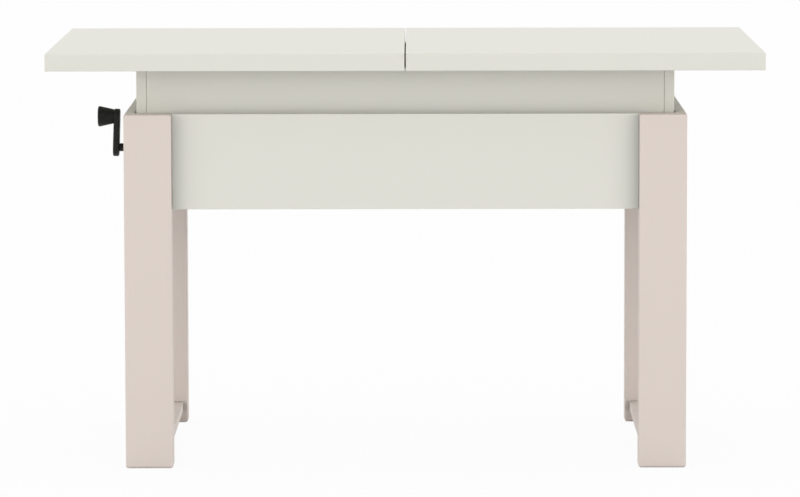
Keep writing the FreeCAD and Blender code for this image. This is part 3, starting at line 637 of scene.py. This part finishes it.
def clip(inner):
    """Open ring round Z that stands on the plane z = 0."""
    shape = bmesh.new()
    section = [(inner, 0), (inner + CLIP_WALL, 0), (inner + CLIP_WALL, CLIP_THICK), (inner, CLIP_THICK)]
    points = [shape.verts.new((radius, 0, height)) for radius, height in section]
    edges = [shape.edges.new(pair) for pair in zip(points, points[1:] + points[:1])]
    bmesh.ops.spin(shape, geom=points + edges, cent=(0, 0, 0), axis=(0, 0, 1), angle=CLIP_TURN,
                   steps=LATHE_STEPS, use_duplicate=False)
    bmesh.ops.holes_fill(shape, edges=open_edges(shape), sides=0)
    bmesh.ops.recalc_face_normals(shape, faces=shape.faces)
    return pattern("clip", shape)


slide_low, slide_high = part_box("scissor_slide_shaft")
shaft_clip, stub_clip = clip((slide_high.z - slide_low.z) / 2), clip(STUB_RADIUS)
print("clips:", len(shaft_clip.polygons), "faces each")

# %% [markdown]
# ### Clips in place
# The arms cross halfway between their lower and upper pivots, so the middle stub lies halfway between the
# pivot shaft and the track rollers. The clips beside the pivot shaft and on the stubs ride on one pair of
# arms, and those on the slide shaft ride on the other.

# %% Clips
CLIP_GAP = 0.1 * MM
ARM_THICK = 4.0 * MM


def middle_of(node):
    low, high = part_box(node)
    return (low + high) / 2


arm_a_inside, arm_b_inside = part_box("scissor_arm_a_back")[0].y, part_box("scissor_arm_b_back")[0].y
pivot, slide = middle_of("scissor_pivot_shaft"), middle_of("scissor_slide_shaft")
crossing = (pivot + middle_of("track_rollers")) / 2
arm_clips, slide_clips = bmesh.new(), bmesh.new()
for side in (-1, 1):
    stamp(arm_clips, shaft_clip, (pivot.x, side * (arm_a_inside - CLIP_GAP), pivot.z), (0, -side, 0))
    outside = arm_b_inside + ARM_THICK + CLIP_GAP
    stamp(arm_clips, stub_clip, (crossing.x, side * outside, crossing.z), (0, side, 0))
    stamp(slide_clips, shaft_clip, (slide.x, side * (arm_b_inside - CLIP_GAP), slide.z), (0, -side, 0))
add_piece("arm_clips", arm_clips, "scissor_a", "zinc_plated_steel")
add_piece("slide_clips", slide_clips, "scissor_b", "zinc_plated_steel")

# %% [markdown]
# ## Grub screws
# The collars and the coupling are held on the screw by small headless screws with a hexagon socket, which
# stand a hair proud where you can see them from below. The two stop collars are wider than the others, so
# their places are found from the CAD vertices that lie furthest from the axis.

# %% Grub screws
GRUB_PROUD = 0.25 * MM
GRUB_LENGTH = 1.6 * MM
COLLAR_WIDE = 5.5 * MM
NEAR_RIM = 0.9
grub = screw_head(
    "grub", radius=1.9 * MM, height=GRUB_LENGTH, kind="hexagon", size=1.15 * MM, depth=1.1 * MM)
coupling_low, coupling_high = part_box("shaft_coupling")
coupling_radius = (coupling_high.z - coupling_low.z) / 2
stop_radius = collars_high.z - axis_z
collar_verts = [vert.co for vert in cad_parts["screw_collars"].data.vertices]
stop_faces = [spot.x for spot in collar_verts if spot.z - axis_z > NEAR_RIM * stop_radius]

half = COLLAR_WIDE / 2
quarter = (coupling_high.x - coupling_low.x) / 4
grub_places = [(coupling_low.x + quarter, coupling_radius), (coupling_high.x - quarter, coupling_radius)]
grub_places += [(collars_low.x + half, coupling_radius), (-thread_end - half, coupling_radius)]
grub_places += [(min(stop_faces) + half, stop_radius), (max(stop_faces) - half, stop_radius)]
grub_screws = bmesh.new()
for x, radius in grub_places:
    stamp(grub_screws, grub, (x, 0, axis_z - radius + GRUB_LENGTH - GRUB_PROUD), (0, 0, -1))
add_piece("grub_screws", grub_screws, "crank", "black_steel")

# %% [markdown]
# ## Crank screw
# One button-head screw holds the crank arm on its shaft. It is sunk into the hub so that nothing catches a
# sleeve. The CAD has it with a plain head, and this one adds the socket and the eased end of the shank.

# %% Crank screw
CRANK_HEAD = 2.8 * MM
SHANK_RADIUS = 2.5 * MM
bolt_low, bolt_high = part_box("crank_screw")
head_radius = (bolt_high.z - bolt_low.z) / 2
shank_length = bolt_high.x - bolt_low.x - CRANK_HEAD
button_head = screw_head(
    "button_head", radius=head_radius, height=CRANK_HEAD, kind="hexagon", size=2.3 * MM, depth=1.7 * MM)
shank = pattern("shank", turned(
    [(0, 0), (SHANK_RADIUS, 0), (SHANK_RADIUS, shank_length - EASED), (SHANK_RADIUS - EASED, shank_length),
     (0, shank_length)]))
bolt = bmesh.new()
seat = (bolt_low.x + CRANK_HEAD, 0, axis_z)
stamp(bolt, button_head, seat, (-1, 0, 0))
stamp(bolt, shank, seat, (1, 0, 0))
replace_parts(add_piece("crank_bolt", bolt, "crank", "black_steel"), "crank_screw")

# %% [markdown]
# ## Cam faces
# The boards are pulled together by cast cams, which are turned with a screwdriver from inside. The CAD has
# each cam as a plain drum, flush with its board, and its face gets the raised disc and the cross of a real
# one.

# %% Cams
CAM_SETBACK = 34.0 * MM
CAM_INSET = 38.0 * MM
cam_face = screw_head(
    "cam_face", radius=7.1 * MM, height=0.6 * MM, kind="cross", size=5.2 * MM, depth=0.5 * MM)


def cam_heights(low, high):
    return low.z + CAM_INSET, high.z - CAM_INSET


apron_cams, box_cams = bmesh.new(), bmesh.new()
for shape, node in ((apron_cams, "apron_back"), (box_cams, "box_panel_back")):
    low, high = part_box(node)
    for z in cam_heights(low, high):
        for end in (-1, 1):
            for side in (-1, 1):
                stamp(shape, cam_face, (end * (high.x - CAM_SETBACK), side * low.y, z), (0, -side, 0))
low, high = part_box("apron_right")
for z in cam_heights(low, high):
    for end in (-1, 1):
        for side in (-1, 1):
            stamp(apron_cams, cam_face, (end * low.x, side * (high.y - CAM_SETBACK), z), (-end, 0, 0))
add_piece("apron_cam_faces", apron_cams, "frame", "zinc_fitting")
add_piece("box_cam_faces", box_cams, "lift_carriage", "zinc_fitting")

# %% [markdown]
# ## Floor
# The table stands on a sweep of white paper. One flat sheet is enough, if it is so wide that the camera never
# sees its edge.

# %% Floor sheet
FLOOR_HALF = 40.0
shape = bmesh.new()
bmesh.ops.create_grid(shape, x_segments=1, y_segments=1, size=FLOOR_HALF)
floor = bpy.data.objects.new("floor", pattern("floor", shape))
bpy.context.scene.collection.objects.link(floor)
floor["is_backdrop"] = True
print("floor:", 2 * FLOOR_HALF, "m wide")

# %% [markdown]
# ### Paper
# The camera should see the paper as plain white with a faint shadow, but it must not throw more light at the
# table than paper does. Light Path tells the two apart: camera, mirror and glass rays see mostly an even
# white glow, and the rays that carry light meet a plain pale paper. Seen from below, the paper lets the view
# through.

# %% Floor paper
FLOOR_GLOW = 0.95
PAPER = (0.79, 0.79, 0.79, 1.0)
WHITE = (1.0, 1.0, 1.0, 1.0)


def seen_directly(tree):
    """Output that is 1 for camera, mirror and glass rays, and 0 for the rays that carry light."""
    rays = tree.nodes.new("ShaderNodeLightPath").outputs
    seen = maths(tree, "MAXIMUM", rays["Is Camera Ray"], rays["Is Glossy Ray"])
    return maths(tree, "MAXIMUM", seen, rays["Is Transmission Ray"])


def mixed(tree, factor, first, second):
    """Output that goes from the first shader to the second as the factor goes from 0 to 1."""
    node = add(tree, "ShaderNodeMixShader", Fac=factor)
    tree.links.new(first.outputs[0], node.inputs[1])
    tree.links.new(second.outputs[0], node.inputs[2])
    return node


paper = bpy.data.materials.new("floor_paper")
paper.use_nodes = True
tree = paper.node_tree
tree.nodes.clear()
matt = add(tree, "ShaderNodeBsdfDiffuse", Color=PAPER)
glow = add(tree, "ShaderNodeEmission", Color=WHITE, Strength=1.0)
upper = mixed(tree, maths(tree, "MULTIPLY", seen_directly(tree), FLOOR_GLOW), matt, glow)
under = tree.nodes.new("ShaderNodeBsdfTransparent")
behind = tree.nodes.new("ShaderNodeNewGeometry").outputs["Backfacing"]
add(tree, "ShaderNodeOutputMaterial", Surface=mixed(tree, behind, upper, under).outputs[0])
floor.data.materials.append(paper)
print("floor paper:", len(tree.nodes), "nodes")

# %% [markdown]
# ## Light tent
# A pale product is lit softly from everywhere, inside a tent of white cloth with soft boxes outside it. The
# tent is a world whose light depends on the direction that it comes from. Each soft box is a lobe: full at
# the middle of the box and fading smoothly away from it. A lobe is a dot product between the direction and
# the box's own axis, raised to a power, and the higher the power, the smaller the box. The four boxes stand
# low and at a slant, two before the table and two behind it, so each leg keeps the corner beside it in shade.
# Lamps would do as well, but a world has no edges that show in the metal.

# %% Soft boxes
EVEN_LIGHT = 0.875
BOX_LIGHT = 1.8
BOX_POWER = 16.0
BOX_SLANT = math.radians(50)
soft_boxes = [(across * math.sin(BOX_SLANT), along * math.cos(BOX_SLANT), 0.0)
              for across in (-1, 1) for along in (-1, 1)]
world = bpy.data.worlds.new("light_tent")
bpy.context.scene.world = world
world.use_nodes = True
tree = world.node_tree
tree.nodes.clear()
direction = tree.nodes.new("ShaderNodeTexCoord").outputs["Generated"]
light = EVEN_LIGHT
for axis in soft_boxes:
    facing = tree.nodes.new("ShaderNodeVectorMath")
    facing.operation = "DOT_PRODUCT"
    join(tree, direction, facing.inputs[0])
    join(tree, axis, facing.inputs[1])
    lobe = maths(tree, "POWER", maths(tree, "MAXIMUM", facing.outputs["Value"], 0.0), BOX_POWER)
    light = maths(tree, "MULTIPLY_ADD", lobe, BOX_LIGHT, light)
tent = add(tree, "ShaderNodeBackground", Color=WHITE, Strength=light)
white = add(tree, "ShaderNodeBackground", Color=WHITE, Strength=1.0)
add(tree, "ShaderNodeOutputWorld", Surface=mixed(tree, seen_directly(tree), tent, white).outputs[0])
print("soft boxes:", len(soft_boxes))

# %% [markdown]
# ## Camera
# The photograph was taken from far away with a long lens, a little above the top and almost square to the
# front, so the table hardly tapers. Place, tilt and lens were solved from the table's own corners.

# %% Camera
CAMERA_PLACE = (0.01442, -8.28645, 1.20716)
CAMERA_TILT = 0.10603
CAMERA_TURN = 0.0029
CAMERA_ROLL = -0.00198
CAMERA_LENS = 226.29
SENSOR_WIDE = 36.0
SEES_AS_FAR_AS = 200.0
camera = bpy.data.objects.new("camera", bpy.data.cameras.new("camera"))
bpy.context.scene.collection.objects.link(camera)
camera.data.sensor_width = SENSOR_WIDE
camera.data.lens = CAMERA_LENS
camera.data.clip_end = SEES_AS_FAR_AS
tilt = Matrix.Rotation(math.pi / 2 - CAMERA_TILT, 4, "X")
aim = Matrix.Rotation(CAMERA_TURN, 4, "Z") @ tilt @ Matrix.Rotation(CAMERA_ROLL, 4, "Z")
camera.matrix_world = Matrix.Translation(CAMERA_PLACE) @ aim
bpy.context.scene.camera = camera
bpy.context.scene.view_settings.view_transform = "Standard"
print("camera at", CAMERA_PLACE, "lens", CAMERA_LENS, "mm")

# %% [markdown]
# ## Measure the dressed table
# The dressed table should stay inside the CAD table's box, so its size is printed.

# %% Print the size
low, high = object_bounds()
print("visual size in metres:", [round(b - a, 3) for a, b in zip(low, high)])
